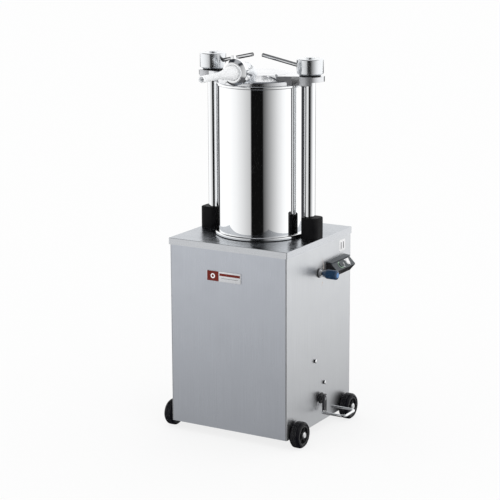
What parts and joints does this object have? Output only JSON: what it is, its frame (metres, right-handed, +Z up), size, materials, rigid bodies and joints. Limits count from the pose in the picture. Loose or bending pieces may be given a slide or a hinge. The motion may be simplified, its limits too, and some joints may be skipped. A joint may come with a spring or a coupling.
{
  "type": "sausage stuffer",
  "caption": "Floor-standing hydraulic sausage stuffer: upright meat cylinder between tie columns, hinged lid with filling horn, steel cabinet on wheels with pedal and flow control.",
  "frame": {"origin": "centre of the cabinet's flat underside, on the axis of the meat cylinder and ram, 30 mm above the floor", "axes": "+Z up along the meat cylinder's axis, -Y to the front where the filling horn points, +X to the side with the pedal and the controls"},
  "size_m": [0.5686, 0.617, 1.2066],
  "materials": {
    "brushed_stainless": "brushed sheet, satin",
    "polished_stainless": "mirror polished",
    "chrome_rod": "bright chrome",
    "lid_metal": "polished casting",
    "plain_steel": "machined",
    "painted_steel": "grey enamel",
    "aluminium": "turned",
    "motor_blue": "semi-gloss paint",
    "cast_iron": "as cast",
    "black_plastic": "fine grain",
    "dark_grey_plastic": "fine grain",
    "black_rubber": "smooth",
    "tyre_rubber": "ribbed tread",
    "white_plastic": "moulded, food grade",
    "blue_plastic": "moulded",
    "green_button": "moulded",
    "grey_button": "moulded",
    "plate_metal": "etched plate"
  },
  "bodies": {
    "chassis": {"base_plate": "brushed_stainless", "inner_frame": "painted_steel", "crosshead_plate": "plain_steel", "front_panel": "brushed_stainless", "left_side_panel": "brushed_stainless", "right_side_panel": "brushed_stainless", "rear_panel": "brushed_stainless", "top_cover": "brushed_stainless", "fasteners": "chrome_rod", "nameplate": "plate_metal", "wheel_axles": "chrome_rod", "left_column": "chrome_rod", "right_column": "chrome_rod", "left_boot": "black_rubber", "right_boot": "black_rubber", "cylinder_gasket": "black_rubber", "cylinder_base_ring": "polished_stainless", "meat_cylinder": "polished_stainless", "ram_barrel": "painted_steel", "ram_gland": "plain_steel", "pedal_bush": "black_plastic", "directional_valve": "cast_iron", "flow_valve": "plain_steel", "control_box": "dark_grey_plastic", "oil_tank": "painted_steel", "motor_housing": "motor_blue", "gear_pump": "cast_iron", "hydraulic_hoses": "black_rubber", "power_cable": "black_rubber"},
    "lid": {"lid": "lid_metal", "lid_seal": "white_plastic", "outlet_spout": "polished_stainless"},
    "horn": {"filling_horn": "white_plastic"},
    "nut": {"horn_nut": "polished_stainless"},
    "left_washer": {"left_washer": "black_plastic"},
    "right_washer": {"right_washer": "black_plastic"},
    "left_clamp": {"left_knob": "polished_stainless", "left_lever": "chrome_rod"},
    "right_clamp": {"right_knob": "polished_stainless", "right_lever": "chrome_rod"},
    "ram": {"piston_rod": "chrome_rod", "meat_piston": "aluminium", "piston_seals": "white_plastic"},
    "pedal": {"pedal_shaft": "plain_steel", "pedal_lever": "chrome_rod"},
    "spool": {"valve_spool": "plain_steel", "spool_spring": "plain_steel"},
    "flow_control": {"flow_stem": "chrome_rod", "flow_knob": "blue_plastic"},
    "start_button": {"start_button": "green_button"},
    "stop_button": {"stop_button": "grey_button"},
    "motor": {"motor_rotor": "plain_steel"},
    "wheel_front_left": {"tyre_front_left": "tyre_rubber", "hub_front_left": "black_plastic"},
    "wheel_front_right": {"tyre_front_right": "tyre_rubber", "hub_front_right": "black_plastic"},
    "wheel_rear_left": {"tyre_rear_left": "tyre_rubber", "hub_rear_left": "black_plastic"},
    "wheel_rear_right": {"tyre_rear_right": "tyre_rubber", "hub_rear_right": "black_plastic"}
  },
  "joints": [
    {"name": "wheel_front_left_spin", "type": "hinge", "parent": "chassis", "child": "wheel_front_left", "pos_m": [-0.2305, -0.165, 0.012], "axis": [1, 0, 0], "continuous": true},
    {"name": "wheel_front_right_spin", "type": "hinge", "parent": "chassis", "child": "wheel_front_right", "pos_m": [0.2305, -0.165, 0.012], "axis": [1, 0, 0], "continuous": true},
    {"name": "wheel_rear_left_spin", "type": "hinge", "parent": "chassis", "child": "wheel_rear_left", "pos_m": [-0.2305, 0.165, 0.012], "axis": [1, 0, 0], "continuous": true},
    {"name": "wheel_rear_right_spin", "type": "hinge", "parent": "chassis", "child": "wheel_rear_right", "pos_m": [0.2305, 0.165, 0.012], "axis": [1, 0, 0], "continuous": true},
    {"name": "ram_stroke", "type": "slide", "parent": "chassis", "child": "ram", "axis": [0, 0, 1], "range_m": [0, 0.42]},
    {"name": "lid_swing", "type": "hinge", "parent": "chassis", "child": "lid", "pos_m": [-0.174, 0, 1.1], "axis": [0, 0, 1], "range_deg": [-110, 0]},
    {"name": "horn_draw", "type": "slide", "parent": "lid", "child": "horn", "axis": [0, -1, 0], "range_m": [0, 0.012]},
    {"name": "nut_turn", "type": "hinge", "parent": "horn", "child": "nut", "pos_m": [0, -0.157, 1.126], "axis": [0, -1, 0], "range_deg": [0, 1080]},
    {"name": "left_washer_lift", "type": "slide", "parent": "chassis", "child": "left_washer", "axis": [0, 0, 1], "range_m": [0, 0.006]},
    {"name": "left_clamp_turn", "type": "hinge", "parent": "left_washer", "child": "left_clamp", "pos_m": [-0.174, 0, 1.137], "axis": [0, 0, 1], "range_deg": [0, 720]},
    {"name": "right_washer_lift", "type": "slide", "parent": "chassis", "child": "right_washer", "axis": [0, 0, 1], "range_m": [0, 0.006]},
    {"name": "right_clamp_turn", "type": "hinge", "parent": "right_washer", "child": "right_clamp", "pos_m": [0.174, 0, 1.137], "axis": [0, 0, 1], "range_deg": [0, 720]},
    {"name": "pedal_rock", "type": "hinge", "parent": "chassis", "child": "pedal", "pos_m": [0.22, 0, 0.083], "axis": [1, 0, 0], "range_deg": [-15, 15]},
    {"name": "spool_shift", "type": "slide", "parent": "chassis", "child": "spool", "axis": [0, -1, 0], "range_m": [-0.0095, 0.0095], "deforming": ["spool_spring"]},
    {"name": "flow_turn", "type": "hinge", "parent": "chassis", "child": "flow_control", "pos_m": [0.24, -0.003, 0.492], "axis": [1, 0, 0], "range_deg": [0, 270]},
    {"name": "start_press", "type": "slide", "parent": "chassis", "child": "start_button", "axis": [-0.7071, 0, -0.7071], "range_m": [0, 0.003]},
    {"name": "stop_press", "type": "slide", "parent": "chassis", "child": "stop_button", "axis": [-0.7071, 0, -0.7071], "range_m": [0, 0.003]},
    {"name": "motor_spin", "type": "hinge", "parent": "chassis", "child": "motor", "pos_m": [-0.116, 0.04, 0.32], "axis": [0, 0, 1], "continuous": true}
  ],
  "couplings": [
    {"joint": "horn_draw", "follows": "nut_turn", "m_per_rad": 0.0006366},
    {"joint": "left_washer_lift", "follows": "left_clamp_turn", "m_per_rad": 0.0004774},
    {"joint": "right_washer_lift", "follows": "right_clamp_turn", "m_per_rad": 0.0004774},
    {"joint": "spool_shift", "follows": "pedal_rock", "m_per_rad": 0.035}
  ]
}
